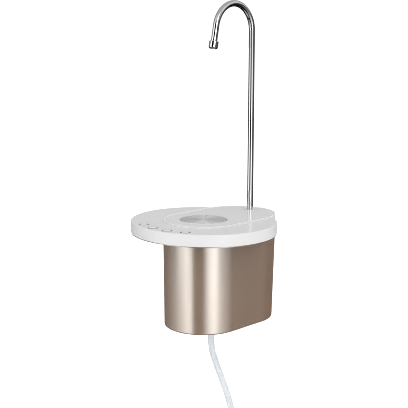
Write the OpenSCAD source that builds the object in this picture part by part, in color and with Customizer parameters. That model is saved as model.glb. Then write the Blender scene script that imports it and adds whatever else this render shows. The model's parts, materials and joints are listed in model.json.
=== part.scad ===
// Electric pump head for drinking water.
// The body has a socket for a 55 mm neck, a motor inside turns a small gear pump,
// and the water rises through a hanging hose and leaves by a swivelling gooseneck.
// Frame: +Z up, the four keys face -Y, the gooseneck stands at +Y,
// and the origin is the centre of the neck socket's mouth, level with the underside.

/* [Top plate] */
// Half width of the oval top plate
plate_a = 94; // [92:0.5:95]
// Half length of the oval top plate
plate_b = 88.5; // [88:0.5:91]
// Height of the plate's rim
rim_h = 14.7; // [14:0.1:15.5]
// Step up to the raised platform
step_h = 0.7; // [0.5:0.1:1.0]
// Height of the bead around the platform
bead_h = 0.4; // [0.3:0.1:0.6]
// Radius of the spun metal cup plate
cup_r = 29.7; // [28:0.1:32]

/* [Body] */
// Radius of both round ends of the body at its top
body_r = 50.7; // [50:0.1:51]
// How much the radius shrinks down to the underside
body_draft = 1.0; // [0.8:0.1:1.2]
// How much further forward the rear round end stands at the underside
rear_lean = 3.3; // [3:0.1:3.5]
// Distance from the neck axis to the centre of the rear round end
rear_y = 61.5; // [60.5:0.5:62]
// Height of the body from the underside to the plate's rim
body_h = 120.3; // [120.3:0.1:120.6]
// Wall thickness of the sleeve
sleeve_t = 1.6; // [1.4:0.1:1.8]

/* [Neck socket] */
// Bore radius of the neck socket
neck_r = 28; // [27.5:0.1:28.2]
// Depth from the mouth to the socket's ceiling
neck_depth = 41; // [40.5:0.5:41]

/* [Spout] */
// Distance from the neck axis to the swivel axis of the spout
spout_y = 88.5; // [88:0.5:89]
// Outer radius of the spout tube
tube_r = 4; // [3.9:0.05:4]
// Inner radius of the spout tube
tube_ri = 3.5; // [3.2:0.1:3.6]
// Height of the centre of the gooseneck's bend
bend_z = 368.4; // [340:0.1:380]
// Radius of the gooseneck's bend
bend_r = 33.8; // [30:0.1:36]
// Angle that the gooseneck turns through
bend_angle = 169; // [160:1:176]
// Length from the end of the bend to the nozzle's tip
leg = 28.7; // [26:0.1:36]
// Radius of the nozzle
nozzle_r = 5.85; // [5.4:0.05:6.2]

/* [Keys] */
// Radius of the circle that the keys lie on
key_circle = 78.5; // [78:0.1:79]
// Angle from one key to the next
key_pitch = 17.5; // [16.5:0.5:18]
// How far the row of keys is turned about the neck axis
key_turn = 1.6; // [0:0.1:2]
// Radius of a key's cap
key_r = 5.5; // [5.3:0.1:5.6]

/* [Pump] */
// Number of teeth on each pump gear
teeth = 12; // [12:1:12]
// Distance between the two gear axes
gear_cd = 16; // [16:0.1:16.1]

/* [Hidden] */
$fn = 64;

plate_z = body_h + rim_h;          // top of the plate
deck_z = plate_z + step_h;         // top of the raised platform
roof_z = plate_z - 2;              // underside of the plate's top wall
tray_z = body_h - 0.75;            // underside of the lower tray
tray_top = body_h + 0.9;           // top of the lower tray
sleeve_top = tray_z - 0.1;         // top edge of the sleeve
chassis_z = neck_depth + 3;        // underside of the chassis deck
chassis_top = chassis_z + 3;       // top of the chassis deck
pump_y = 62;                       // line of the gear axes
flow_z = 54.7;                     // height of the pump's ports
nip_y = 14;                        // place of the suction nipple
hose_r = 4;                        // outer radius of the silicone hoses
barb_r = 2.45;                     // radius of the hose barbs

// Outlines: a round-ended oblong shared by the body and the raised platform, and the oval of the plate.
function oblong_pts(r, rear, n = 40) = concat(
  [for (i = [0:n]) let (t = 180 + 180 * i / n) [r * cos(t), r * sin(t)]],
  [for (i = [0:n]) let (t = 180 * i / n) [r * cos(t), rear + r * sin(t)]]);
function oval_pts(d, n = 96) = [for (i = [0:n - 1]) let (t = 360 * i / n) [(plate_a - d) * cos(t), (plate_b - d) * sin(t)]];
module oblong(r, h, rear = rear_y) { linear_extrude(height = h) polygon(oblong_pts(r, rear)); }
module oval(d, h) { linear_extrude(height = h) polygon(oval_pts(d)); }
module ring(ro, ri, h) { difference() { cylinder(r = ro, h = h); translate([0, 0, -1]) cylinder(r = ri, h = h + 2); } }
module block(lo, hi) { translate(lo) cube([hi[0] - lo[0], hi[1] - lo[1], hi[2] - lo[2]]); }
module post(p, r, z0, z1, hole_r, hole_z0, hole_z1) {
  translate([p[0], p[1], 0]) difference() {
    translate([0, 0, z0]) cylinder(r = r, h = z1 - z0);
    translate([0, 0, hole_z0]) cylinder(r = hole_r, h = hole_z1 - hole_z0);
  }
}
// A screw whose head sits on z and whose shank runs to z1.
module screw(p, head_r, head_h, z, shank_r, z1) {
  up = z1 > z ? 1 : -1;
  translate([p[0], p[1], 0]) difference() {
    union() {
      translate([0, 0, up > 0 ? z - head_h : z]) cylinder(r = head_r, h = head_h);
      translate([0, 0, up > 0 ? z - 0.2 : z1]) cylinder(r = shank_r, h = abs(z1 - z) + 0.2);
    }
    for (a = [0, 90]) translate([0, 0, up > 0 ? z - head_h - 1 : z + head_h - 0.6]) rotate([0, 0, a])
      translate([-head_r * 0.62, -0.28, 0]) cube([head_r * 1.24, 0.56, 1.6]);
  }
}

// Where the fasteners stand.
tray_pts = [[-70, -22], [70, -22], [-66, 40], [66, 40]];
base_pts = [[0, -37.5], [-34, 30], [34, 30], [-34, 75], [34, 75]];
frame_pts = [[-41, 6], [41, 6], [-41, 56], [41, 56]];
board_pts = [[-24, -29], [24, -29], [-26, 28], [26, 28]];
pump_pts = [[-19, 50], [19, 50], [-19, 74], [19, 74]];
foot_pts = [[-26, 62], [26, 62]];
key_screw_angles = [-34, 0, 34];
function on_keys(a, r) = [r * sin(a), -r * cos(a)];
function key_angle(i) = (i - 2.5) * key_pitch + key_turn;
function key_at(i) = on_keys(key_angle(i), key_circle);

// A round tube swept along a route of points, as one closed skin.
// The rings keep one reference direction, so the skin does not twist.
function unit(v) = v / norm(v);
function tangent(p, i) = i == 0 ? unit(p[1] - p[0]) : i == len(p) - 1 ? unit(p[i] - p[i - 1]) : unit(unit(p[i + 1] - p[i]) + unit(p[i] - p[i - 1]));
function ring_pts(p, i, r, n, ref) = let (t = tangent(p, i), u = unit(cross(ref, t)), v = cross(t, u))
  [for (k = [0:n - 1]) p[i] + r * (cos(360 * k / n) * u + sin(360 * k / n) * v)];
module swept(p, r, n, ref) {
  m = len(p);
  pts = [for (i = [0:m - 1]) each ring_pts(p, i, r, n, ref)];
  sides = [for (i = [0:m - 2]) for (k = [0:n - 1]) let (a = i * n + k, b = i * n + (k + 1) % n) [a, a + n, b + n, b]];
  polyhedron(points = pts, faces = concat([[for (k = [0:n - 1]) k]], sides, [[for (k = [n - 1:-1:0]) (m - 1) * n + k]]), convexity = 6);
}
// The same with a bore along it.
module swept_hollow(p, r, ri, n, ref) {
  m = len(p);
  out = [for (i = [0:m - 1]) each ring_pts(p, i, r, n, ref)];
  inn = [for (i = [0:m - 1]) each ring_pts(p, i, ri, n, ref)];
  o = m * n;
  outer = [for (i = [0:m - 2]) for (k = [0:n - 1]) let (a = i * n + k, b = i * n + (k + 1) % n) [a, a + n, b + n, b]];
  inner = [for (i = [0:m - 2]) for (k = [0:n - 1]) let (a = o + i * n + k, b = o + i * n + (k + 1) % n) [a, b, b + n, a + n]];
  first = [for (k = [0:n - 1]) let (b = (k + 1) % n) [k, b, o + b, o + k]];
  last = [for (k = [0:n - 1]) let (b = (k + 1) % n, s = (m - 1) * n) [s + k, o + s + k, o + s + b, s + b]];
  polyhedron(points = concat(out, inn), faces = concat(outer, inner, first, last), convexity = 8);
}
// The suction hose hangs from the nipple and leans a little with its own set.
hose_route = [[0, 14, 40], [0, 14, 20], [0, 14, 0], [0, 14, -20], [1.5, 15.5, -40], [6, 19.5, -60], [11, 24.5, -80],
  [16, 29, -100], [20, 33, -120], [26.5, 39.5, -150], [32, 44.5, -180], [36.5, 49, -210], [40.5, 53, -240],
  [44, 56, -270], [46.5, 58.5, -300], [49, 61, -332]];

// ---- Top plate ----
module top_cover() {
  color("white") union() {
    difference() {
      union() {
        translate([0, 0, body_h]) oval(0, rim_h);
        translate([0, 0, body_h]) oblong(body_r, rim_h + step_h);
        translate([0, 0, deck_z - 0.2]) difference() {
          oblong(body_r, bead_h + 0.2);
          translate([0, 0, -1]) oblong(body_r - 1.3, 4);
        }
      }
      translate([0, 0, body_h - 1]) oval(1.6, roof_z - body_h + 1);
      translate([0, 0, body_h - 1]) oblong(body_r - 1.6, roof_z - body_h + 1);
      translate([0, 0, deck_z - 1.4]) cylinder(r = cup_r + 0.25, h = 4);
      translate([0, spout_y, roof_z - 1]) cylinder(r = 4.5, h = 8);
      for (i = [1:4]) translate([key_at(i)[0], key_at(i)[1], roof_z - 1]) cylinder(r = key_r + 0.8, h = 6);
    }
    for (p = tray_pts) post(p, 4, tray_top + 0.1, roof_z + 0.2, 1.4, tray_top - 1, roof_z - 1.5);
  }
}
module cup_plate() {
  color("gainsboro") translate([0, 0, deck_z - 1.0]) union() {
    cylinder(r = cup_r, h = 0.8);
    translate([0, 0, 0.8]) cylinder(r1 = cup_r, r2 = cup_r - 0.3, h = 0.3);
  }
}
module cup_plate_pad() { color("dimgray") translate([0, 0, deck_z - 1.4]) cylinder(r = cup_r - 1.5, h = 0.4); }
module lower_tray() {
  color("rosybrown") union() {
    difference() {
      union() {
        translate([0, 0, tray_z]) oval(0.4, 0.7);
        translate([0, 0, tray_z]) oblong(body_r - 0.5, 0.7);
        translate([0, 0, tray_z + 0.5]) oval(2.0, tray_top - tray_z - 0.5);
        translate([0, 0, tray_z + 0.5]) oblong(body_r - 2.0, tray_top - tray_z - 0.5);
        translate([0, 0, tray_z - 7]) oblong(body_r - 2.2, 7.5);
      }
      translate([0, 0, tray_z - 8]) oblong(36, 14);
      translate([0, 0, tray_z - 8]) oblong(body_r - 4.4, 8);
      for (p = tray_pts) translate([p[0], p[1], tray_z - 1]) { cylinder(r = 1.7, h = 5); cylinder(r = 3.2, h = 2.1); }
      for (p = frame_pts) translate([p[0], p[1], tray_z - 1]) cylinder(r = 1.7, h = 5);
    }
    for (a = key_screw_angles) post(on_keys(a, 80), 2.8, tray_top - 0.2, 123.95, 0.95, tray_top + 0.4, 126);
  }
}
module tray_screws() { color("silver") for (p = tray_pts) screw(p, 2.9, 1.0, tray_z + 1.08, 1.35, tray_z + 11); }

// ---- Keys ----
module key_cap(i) {
  translate([key_at(i)[0], key_at(i)[1], 0]) union() {
    translate([0, 0, roof_z - 0.5]) cylinder(r = key_r, h = 2.6);
    translate([0, 0, plate_z + 0.1]) cylinder(r1 = key_r, r2 = key_r - 0.2, h = 0.2);
    translate([0, 0, roof_z - 1.8]) cylinder(r = key_r + 1.6, h = 1.5);
    translate([0, 0, roof_z - 5.4]) cylinder(r = 1.4, h = 3.8);
  }
}
module key_1() { color("white") key_cap(1); }
module key_2() { color("white") key_cap(2); }
module key_3() { color("white") key_cap(3); }
module key_4() { color("white") key_cap(4); }
module key_board() {
  color("darkgreen") translate([0, 0, 124]) linear_extrude(height = 1.6) difference() {
    intersection() {
      circle(r = 85, $fn = 96);
      polygon([[0, 0], on_keys(-38, 130), on_keys(0, 130), on_keys(38, 130)]);
    }
    circle(r = 73, $fn = 96);
    for (a = key_screw_angles) translate(on_keys(a, 80)) circle(r = 1.1);
  }
}
module key_switches() {
  color("dimgray") for (i = [1:4]) translate([key_at(i)[0], key_at(i)[1], 125.6]) rotate([0, 0, key_angle(i)]) difference() {
    translate([-3.1, -3.1, 0]) cube([6.2, 6.2, 3.5]);
    translate([0, 0, 1]) cylinder(r = 1.8, h = 4);
  }
}
module key_board_screws() { color("silver") for (a = key_screw_angles) screw(on_keys(a, 80), 1.9, 1.1, 125.65, 0.9, 121.8); }
ribbon_pts = [[-74.5, 125.62], [-66, 125.8], [-42, 122.9], [-35.2, 122.2], [-33, 119], [-31.5, 99.9], [-29.5, 99.7]];
module key_ribbon() {
  color("white") translate([-6, 0, 0]) rotate([90, 0, 90]) linear_extrude(height = 12)
    polygon(concat(ribbon_pts, [for (i = [len(ribbon_pts) - 1:-1:0]) ribbon_pts[i] + [0.35, 0.45]]));
}

// ---- Body ----
module drafted(d, levels) { hull() for (l = levels) translate([0, 0, l[0]]) oblong(l[1] - d, 0.01, rear_at(l[0])); }
function body_at(z) = body_r - body_draft * (sleeve_top - z) / sleeve_top;
function rear_at(z) = rear_y - rear_lean * (sleeve_top - z) / sleeve_top;
module body_sleeve() {
  color("tan") difference() {
    drafted(0, [[0, body_at(0) - 1.4], [0.2, body_at(0) - 0.85], [0.6, body_at(0) - 0.4], [1.2, body_at(0) - 0.1], [2, body_at(2)], [sleeve_top - 0.01, body_r]]);
    drafted(sleeve_t, [[2.0, body_at(0) - 1.2], [3.5, body_at(3.5)], [sleeve_top + 0.3, body_r]]);
    translate([0, 0, -1]) oblong(body_at(0) - 5, 4, rear_at(0));
    translate([0, rear_y + 40, 15.2]) rotate([-90, 0, 0]) linear_extrude(height = 20) union() {
      square([6.2, 4.4], center = true);
      for (s = [-1, 1]) translate([s * 3.1, 0]) circle(r = 2.2);
    }
  }
}
module base_cover() {
  color("dimgray") difference() {
    union() {
      translate([0, 0, 0.6]) oblong(body_at(0) - 5.3, 1.6, rear_at(0));
      translate([0, 0, 2.05]) oblong(body_at(0) - 3.3, 1.95, rear_at(0));
      block([-9, 86, 3.9], [9, 104, 11.9]);
    }
    translate([0, 0, -1]) cylinder(r = neck_r + 3.3, h = 8);
    for (p = base_pts) translate([p[0], p[1], -1]) { cylinder(r = 1.7, h = 8); cylinder(r = 3.2, h = 2.8); }
    block([-7, 88, 5], [7, 102, 14]);
  }
}
module base_screws() { color("silver") for (p = base_pts) screw(p, 2.9, 1.1, 1.78, 1.3, 17); }
module neck_adapter() {
  color("gainsboro") difference() {
    union() {
      cylinder(r = neck_r + 3, h = chassis_z - 0.05);
      translate([0, 0, 4.05]) cylinder(r = neck_r + 5, h = 2.5);
    }
    translate([0, 0, -1]) cylinder(r = neck_r, h = neck_depth + 1);
    translate([0, nip_y, neck_depth - 1]) cylinder(r = 3.0, h = 6);
    translate([0, -12, neck_depth - 1]) cylinder(r = 1.2, h = 6);
  }
}
module neck_seal() { color("whitesmoke") translate([0, 0, neck_depth - 2.5]) ring(neck_r - 0.3, 20.5, 2.45); }

// ---- Frame inside ----
module chassis() {
  color("lightgray") union() {
    difference() {
      translate([0, 0, chassis_z]) oblong(46.5, 3, rear_y - 2.2);
      translate([0, nip_y, chassis_z - 1]) cylinder(r = 3.0, h = 6);
      translate([0, -12, chassis_z - 1]) cylinder(r = 1.2, h = 6);
      for (p = foot_pts) translate([p[0], p[1], chassis_z - 1]) cylinder(r = 1.35, h = 6);
      block([-32, 80, chassis_z - 1], [-24, 90, chassis_z + 5]);
    }
    for (p = base_pts) post(p, 4, 4.05, chassis_z + 0.2, 1.35, 3, 20);
    for (p = frame_pts) post(p, 4, chassis_top - 0.2, tray_z - 0.05, 1.35, tray_z - 14, tray_z + 1);
    for (p = board_pts) post(p, 3, chassis_top - 0.2, 95, 1.0, 84, 96);
    for (s = [-1, 1]) block([s > 0 ? 9 : -13, spout_y - 5, chassis_top - 0.2], [s > 0 ? 13 : -9, spout_y + 5, 86]);
    difference() {
      block([-9.2, spout_y - 5, 83], [9.2, spout_y + 5, 86]);
      translate([0, spout_y, 82]) cylinder(r = hose_r + 0.6, h = 6);
    }
  }
}
module frame_screws() { color("silver") for (p = frame_pts) screw(p, 2.9, 1.6, tray_top + 0.02, 1.3, tray_z - 12); }
cell_y = -10;
cell_z = [57.6, 76.4];
module battery_holder() {
  color("dimgray") difference() {
    union() {
      block([-35.5, cell_y - 10.5, chassis_top + 0.05], [35.5, cell_y + 10.5, chassis_top + 1.2]);
      for (s = [-1, 1]) {
        block([s > 0 ? 33.0 : -35.5, cell_y - 10.5, chassis_top + 0.5], [s > 0 ? 35.5 : -33.0, cell_y + 10.5, 87]);
        block([-35, s > 0 ? cell_y + 9.4 : cell_y - 10.5, chassis_top + 0.5], [35, s > 0 ? cell_y + 10.5 : cell_y - 9.4, 56]);
      }
    }
    translate([0, -12, chassis_top - 1]) cylinder(r = 1.2, h = 4);
  }
}
module battery_cells() {
  color("royalblue") for (i = [0, 1]) translate([0, cell_y, cell_z[i]]) rotate([0, i == 0 ? 90 : -90, 0]) union() {
    translate([0, 0, -32]) cylinder(r = 9.2, h = 63.2);
    translate([0, 0, 31]) cylinder(r = 2.8, h = 1.2);
  }
}
module battery_contacts() {
  color("silver") for (s = [-1, 1]) block([s > 0 ? 32.3 : -32.9, cell_y - 6, 52], [s > 0 ? 32.9 : -32.3, cell_y + 6, 88.5]);
}
module main_board() {
  color("darkgreen") translate([0, 0, 95.05]) difference() {
    translate([-30, -33, 0]) cube([60, 65, 1.6]);
    for (p = board_pts) translate([p[0], p[1], -1]) cylinder(r = 1.2, h = 4);
  }
}
module board_parts() {
  z = 96.65;
  color("black") union() {
    block([-5, -12, z], [5, -2, z + 1.2]);
    block([9, 4, z], [17, 12, z + 4]);
    for (x = [-18, -8]) translate([x, 10, z]) cylinder(r = 4, h = 11);
    block([-8, -31.2, z], [8, -26.5, z + 3]);
    block([-14, 23, z], [-4, 29, z + 6]);
    block([18, -12, z], [28, -6, z + 6]);
    block([14, 18, z], [22, 23, z + 2.4]);
    for (i = [0:4]) block([-22, -20 + 3 * i, z], [-19, -18.4 + 3 * i, z + 1]);
  }
}
module board_screws() { color("silver") for (p = board_pts) screw(p, 2.0, 1.3, 96.67, 0.95, 86); }
module battery_leads() {
  color("red") for (s = [-1, 1]) swept(s > 0
    ? [[32.6, cell_y + 1, 88.7], [32.6, cell_y + 1, 92], [33.4, cell_y + 1, 98], [31, cell_y + 1, 104.5], [25, cell_y + 1, 106.5], [23.4, cell_y + 1, 105], [23.2, cell_y + 1, 102.75]]
    : [[-32.6, cell_y + 1, 88.7], [-32.6, cell_y + 1, 92], [-33.4, cell_y + 1, 98], [-31, cell_y + 1, 107], [-20, cell_y + 1, 110.5], [0, cell_y + 1, 111.5], [16, cell_y + 1, 109.5], [20, cell_y + 1, 106], [20.2, cell_y + 1, 102.75]],
    0.9, 8, [0, 1, 0]);
}
module charge_board() {
  color("darkgreen") block([-8.6, 86.4, 11.95], [8.6, 104.2, 13.5]);
}
module charge_port() {
  color("silver") translate([0, 98.6, 15.2]) rotate([-90, 0, 0]) linear_extrude(height = 7.6) difference() {
    union() { square([5.8, 3.3], center = true); for (s = [-1, 1]) translate([s * 2.9, 0]) circle(r = 1.65); }
    union() { square([5.8, 2.5], center = true); for (s = [-1, 1]) translate([s * 2.9, 0]) circle(r = 1.25); }
  }
}

// ---- Pump ----
drive = [-gear_cd / 2, pump_y];
idle = [gear_cd / 2, pump_y];
gear_z0 = 49.7;
gear_z1 = 59.8;
pitch_r = gear_cd / 2;
pressure = 25;
base_r = pitch_r * cos(pressure);
tip_r = pitch_r + 0.8;
root_r = pitch_r - 1.55;
function inv(a) = tan(a) * 180 / PI - a;
function flank(r) = 90 / teeth - 1.1 + inv(pressure) - inv(acos(min(1, base_r / r)));
function tooth(c) = let (rs = [base_r + 0.02, 7.5, 7.8, 8.1, 8.4, tip_r]) concat(
  [[root_r, c - flank(rs[0]) - 1.5]],
  [for (r = rs) [r, c - flank(r)]],
  [for (i = [len(rs) - 1:-1:0]) [rs[i], c + flank(rs[i])]],
  [[root_r, c + flank(rs[0]) + 1.5]]);
function gear_outline(turn) = [for (k = [0:teeth - 1]) each [for (q = tooth(turn + k * 360 / teeth)) q[0] * [cos(q[1]), sin(q[1])]]];
module gear(turn, bore) {
  difference() {
    linear_extrude(height = gear_z1 - gear_z0) polygon(gear_outline(turn));
    translate([0, 0, -1]) cylinder(r = bore, h = 20);
  }
}
module drive_gear() { color("ivory") translate([drive[0], drive[1], gear_z0]) gear(0, 1.5); }
module idler_gear() { color("ivory") translate([idle[0], idle[1], gear_z0]) gear(180 + 180 / teeth, 1.55); }
module idler_pin() { color("silver") translate([idle[0], idle[1], 48]) cylinder(r = 1.5, h = 15); }
module pump_housing() {
  color("gainsboro") difference() {
    union() {
      block([-22, 47, chassis_top + 0.05], [22, 77, 60]);
      block([-7, 76, chassis_top + 0.05], [7, 95, 60]);
      for (p = foot_pts) block([p[0] > 0 ? 21 : -30, 56, chassis_top + 0.05], [p[0] > 0 ? 30 : -21, 68, 50]);
      translate([0, 48, flow_z]) rotate([90, 0, 0]) cylinder(r = barb_r, h = 11.5);
      translate([0, spout_y, 59]) cylinder(r = barb_r, h = 13);
    }
    for (c = [drive, idle]) translate([c[0], c[1], 49.5]) cylinder(r = tip_r + 0.35, h = 12);
    translate([drive[0], drive[1], 47.8]) cylinder(r = 1.55, h = 5);
    translate([idle[0], idle[1], 48]) cylinder(r = 1.5, h = 5);
    translate([0, 57.5, flow_z]) rotate([90, 0, 0]) cylinder(r = 1.7, h = 30);
    translate([0, 66.5, flow_z]) rotate([-90, 0, 0]) cylinder(r = 1.7, h = spout_y - 66.5);
    translate([0, spout_y, flow_z - 1.2]) cylinder(r = 1.6, h = 30);
    for (p = pump_pts) translate([p[0], p[1], 50]) cylinder(r = 1.25, h = 12);
    for (p = foot_pts) translate([p[0], p[1], 45]) cylinder(r = 1.6, h = 8);
  }
}
module pump_gasket() {
  color("black") translate([0, 0, 60.02]) linear_extrude(height = 0.56) difference() {
    translate([-22, 47]) square([44, 30]);
    for (c = [drive, idle]) translate(c) circle(r = tip_r + 0.8);
    for (p = pump_pts) translate(p) circle(r = 1.5);
  }
}
module pump_cover() {
  color("gainsboro") difference() {
    block([-22, 47, 60.6], [22, 77, 65]);
    translate([drive[0], drive[1], 60]) cylinder(r = 1.55, h = 6);
    translate([drive[0], drive[1], 62]) cylinder(r = 4, h = 4);
    translate([idle[0], idle[1], 60]) cylinder(r = 1.5, h = 3.2);
    for (p = pump_pts) translate([p[0], p[1], 60]) cylinder(r = 1.5, h = 6);
  }
}
module pump_screws() { color("silver") for (p = pump_pts) screw(p, 2.4, 1.6, 65.02, 1.2, 51); }
module pump_mount_screws() { color("silver") for (p = foot_pts) screw(p, 2.6, 1.6, 50.02, 1.3, chassis_z - 2); }
module shaft_seal() { color("black") translate([drive[0], drive[1], 62.03]) ring(3.95, 1.58, 2.6); }
module at_motor() { translate([drive[0], drive[1], 0]) children(); }
module motor_can() {
  color("silver") at_motor() difference() {
    translate([0, 0, 65.05]) cylinder(r = 12.2, h = 31);
    translate([0, 0, 67]) cylinder(r = 11, h = 40);
    translate([0, 0, 60]) cylinder(r = 1.55, h = 20);
  }
}
module motor_magnets() {
  color("dimgray") at_motor() translate([0, 0, 70]) difference() {
    ring(10.95, 9.8, 20);
    translate([-3, -20, -1]) cube([6, 40, 22]);
  }
}
module motor_rotor() {
  color("peru") at_motor() difference() {
    union() {
      translate([0, 0, 71]) cylinder(r = 9.4, h = 18);
      translate([0, 0, 88]) cylinder(r = 3.4, h = 5);
    }
    translate([0, 0, 60]) cylinder(r = 1.5, h = 40);
    for (a = [0, 120, 240]) rotate([0, 0, a]) translate([6.4, -0.7, 70]) cube([5, 1.4, 20]);
  }
}
module motor_end_cap() {
  color("black") at_motor() difference() {
    union() {
      translate([0, 0, 96.1]) cylinder(r = 12.2, h = 2.4);
      translate([0, 0, 94.2]) cylinder(r = 10.9, h = 2.2);
      for (s = [-1, 1]) block([s * 6 - 1.25, -0.4, 98], [s * 6 + 1.25, 0.4, 102.6]);
    }
    translate([0, 0, 90]) cylinder(r = 1.55, h = 7.5);
  }
}
module motor_shaft() { color("silver") at_motor() translate([0, 0, 48]) cylinder(r = 1.5, h = 49.3); }
module motor_leads() {
  color("black") for (s = [-1, 1]) swept([[drive[0] + 6 * s, 62, 102.7], [drive[0] + 6 * s, 61.5, 105.5], [drive[0] + 5.6 * s, 58, 109],
    [drive[0] + 4 * s, 48, 110.5], [drive[0] + 2.5 * s - 0.5, 36, 110], [drive[0] + 2 * s - 1, 28.5, 108], [drive[0] + 2 * s - 1, 26, 105.5], [drive[0] + 2 * s - 1, 26, 102.75]], 0.9, 8, [1, 0, 0]);
}

// ---- Water way ----
module suction_hose() { color("whitesmoke") swept_hollow(hose_route, hose_r, 2.6, 12, [1, 0, 0]); }
module suction_nipple() {
  color("whitesmoke") difference() {
    union() {
      translate([0, nip_y, 29]) cylinder(r = barb_r, h = 13);
      translate([0, nip_y, neck_depth - 0.9]) cylinder(r = 2.9, h = 7);
      block([-4.5, nip_y - 4.5, chassis_top + 0.05], [4.5, nip_y + 4.5, 59.2]);
      translate([0, nip_y + 4, flow_z]) rotate([-90, 0, 0]) cylinder(r = barb_r, h = 16);
    }
    translate([0, nip_y, 28]) cylinder(r = 1.6, h = flow_z - 28 + 1.2);
    translate([0, nip_y, flow_z]) rotate([-90, 0, 0]) cylinder(r = 1.7, h = 30);
  }
}
module inlet_hose() { color("whitesmoke") translate([0, nip_y + 4.7, flow_z]) rotate([-90, 0, 0]) ring(hose_r, 2.5, 46.9 - nip_y - 4.7); }
module outlet_hose() { color("whitesmoke") translate([0, spout_y, 60.1]) ring(hose_r, 2.5, 25.8); }
module spout_socket() {
  color("gainsboro") translate([0, spout_y, 0]) difference() {
    union() {
      translate([0, 0, 74]) cylinder(r = barb_r, h = 13);
      translate([0, 0, 86.05]) cylinder(r = 8, h = roof_z - 86.1);
      translate([0, 0, roof_z - 2.5]) cylinder(r = 11, h = 2.45);
    }
    translate([0, 0, 73]) cylinder(r = 1.7, h = 20);
    translate([0, 0, 90]) cylinder(r = 2.6, h = 8);
    translate([0, 0, 96]) cylinder(r = tube_r + 0.06, h = 50);
    for (z = [104, 118]) translate([0, 0, z - 1.2]) cylinder(r = 6.3, h = 2.4);
  }
}
module spout_o_rings() {
  color("black") for (z = [104, 118]) translate([0, spout_y, z]) rotate_extrude() translate([5.14, 0]) circle(r = 1.06);
}
module spout_collar() {
  color("whitesmoke") translate([0, spout_y, 0]) difference() {
    union() {
      translate([0, 0, roof_z + 0.02]) cylinder(r = 4.45, h = deck_z - roof_z);
      translate([0, 0, deck_z + 0.02]) cylinder(r = 4.9, h = 0.6);
      translate([0, 0, deck_z + 0.62]) cylinder(r1 = 4.9, r2 = 4.7, h = 0.2);
    }
    translate([0, 0, roof_z - 1]) cylinder(r = tube_r + 0.06, h = 10);
  }
}
bend_y = spout_y - bend_r;
lean = 180 - bend_angle;
tip = [0, bend_y + bend_r * cos(bend_angle) - leg * sin(bend_angle), bend_z + bend_r * sin(bend_angle) + leg * cos(bend_angle)];
module at_tip() { translate(tip) rotate([-lean, 0, 0]) children(); }
module spout_tube() {
  color("silver") union() {
    translate([0, spout_y, 97]) ring(tube_r, tube_ri, bend_z - 97);
    translate([0, bend_y, bend_z]) rotate([0, 0, 90]) rotate([90, 0, 0]) rotate_extrude(angle = bend_angle)
      translate([bend_r, 0]) difference() { circle(r = tube_r); circle(r = tube_ri); }
    at_tip() translate([0, 0, 3.6]) ring(tube_r - 0.02, tube_ri + 0.02, leg - 3.1);
  }
}
module spout_nozzle() {
  color("silver") at_tip() difference() {
    union() {
      cylinder(r1 = nozzle_r - 1.3, r2 = nozzle_r, h = 1.5);
      translate([0, 0, 1.5]) cylinder(r = nozzle_r, h = 7.4);
      translate([0, 0, 8.9]) cylinder(r1 = nozzle_r, r2 = nozzle_r - 0.6, h = 0.6);
    }
    translate([0, 0, -1]) cylinder(r = 2.8, h = 3);
    translate([0, 0, 0.7]) cylinder(r = 3.3, h = 4);
    translate([0, 0, 3.55]) cylinder(r = tube_r + 0.03, h = 10);
  }
}
module flow_straightener() {
  color("white") at_tip() translate([0, 0, 0.72]) difference() {
    cylinder(r = 3.25, h = 2.7);
    translate([0, 0, -1]) cylinder(r = 0.45, h = 5);
    for (a = [0:60:300]) rotate([0, 0, a]) translate([1.25, 0, -1]) cylinder(r = 0.45, h = 5);
    for (a = [15:30:345]) rotate([0, 0, a]) translate([2.4, 0, -1]) cylinder(r = 0.4, h = 5);
  }
}

top_cover();
cup_plate();
cup_plate_pad();
lower_tray();
tray_screws();
key_1();
key_2();
key_3();
key_4();
key_board();
key_switches();
key_board_screws();
key_ribbon();
body_sleeve();
base_cover();
base_screws();
neck_adapter();
neck_seal();
chassis();
frame_screws();
battery_holder();
battery_cells();
battery_contacts();
battery_leads();
main_board();
board_parts();
board_screws();
charge_board();
charge_port();
motor_can();
motor_magnets();
motor_rotor();
motor_end_cap();
motor_shaft();
motor_leads();
pump_housing();
pump_cover();
pump_gasket();
pump_screws();
pump_mount_screws();
shaft_seal();
drive_gear();
idler_gear();
idler_pin();
suction_hose();
suction_nipple();
inlet_hose();
outlet_hose();
spout_socket();
spout_o_rings();
spout_collar();
spout_tube();
spout_nozzle();
flow_straightener();
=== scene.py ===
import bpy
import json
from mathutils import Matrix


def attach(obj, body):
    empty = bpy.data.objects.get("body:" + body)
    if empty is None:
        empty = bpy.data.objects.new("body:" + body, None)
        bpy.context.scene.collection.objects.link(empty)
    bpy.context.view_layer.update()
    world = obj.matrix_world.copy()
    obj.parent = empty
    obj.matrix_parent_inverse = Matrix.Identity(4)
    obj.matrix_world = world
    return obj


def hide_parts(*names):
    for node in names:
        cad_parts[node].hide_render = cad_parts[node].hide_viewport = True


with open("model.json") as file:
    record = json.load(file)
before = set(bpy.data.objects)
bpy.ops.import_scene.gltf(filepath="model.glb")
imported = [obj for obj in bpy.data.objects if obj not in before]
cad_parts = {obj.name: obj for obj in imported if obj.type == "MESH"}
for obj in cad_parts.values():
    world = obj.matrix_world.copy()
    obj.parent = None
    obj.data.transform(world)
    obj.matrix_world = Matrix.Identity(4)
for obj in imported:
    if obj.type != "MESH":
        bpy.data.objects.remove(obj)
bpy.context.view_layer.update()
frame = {"nodes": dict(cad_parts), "record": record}

import json
import math

import bmesh
import bpy
from mathutils import Matrix, Vector

scene = bpy.context.scene
MM = 0.001

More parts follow.
